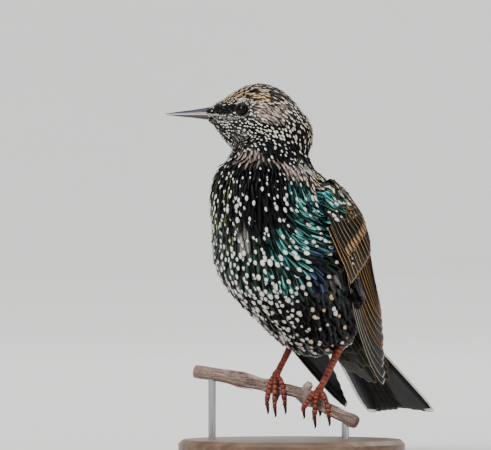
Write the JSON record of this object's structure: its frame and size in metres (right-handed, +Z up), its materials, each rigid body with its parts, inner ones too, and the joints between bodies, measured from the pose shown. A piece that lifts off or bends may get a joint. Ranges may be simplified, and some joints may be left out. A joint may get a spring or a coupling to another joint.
{
  "type": "starling",
  "caption": "Life-size still model of a speckled starling in autumn plumage, upright on a cut length of vine held over a round display base",
  "frame": {"origin": "centre of the stand base's underside", "axes": "+Z up, the bill points along -X, the breast turns to -Y and the tail hangs to +Y"},
  "size_m": [0.1292, 0.1551, 0.1777],
  "materials": {
    "plumage": "glossy black feathers with green and violet sheen and pale tips",
    "wing_feathers": "dark feathers with buff edges",
    "tail_feathers": "dark feathers with thin pale edges",
    "bill": "satin horn, pale along the gape",
    "eye": "wet gloss",
    "leg_skin": "scaled red-brown skin",
    "claw": "satin dark horn",
    "bark": "rough fibrous bark",
    "stand_wood": "oiled dark wood",
    "stand_steel": "brushed"
  },
  "bodies": {
    "root": {"head": "plumage", "neck": "plumage", "torso": "plumage", "bill_upper": "bill", "bill_lower": "bill", "eye_left": "eye", "eye_right": "eye", "wing_left": "wing_feathers", "wing_right": "wing_feathers", "tail": "tail_feathers", "leg_left": "leg_skin", "leg_right": "leg_skin", "perch": "bark", "stand_base": "stand_wood", "stand_rod_1": "stand_steel", "stand_rod_2": "stand_steel"}
  },
  "joints": []
}
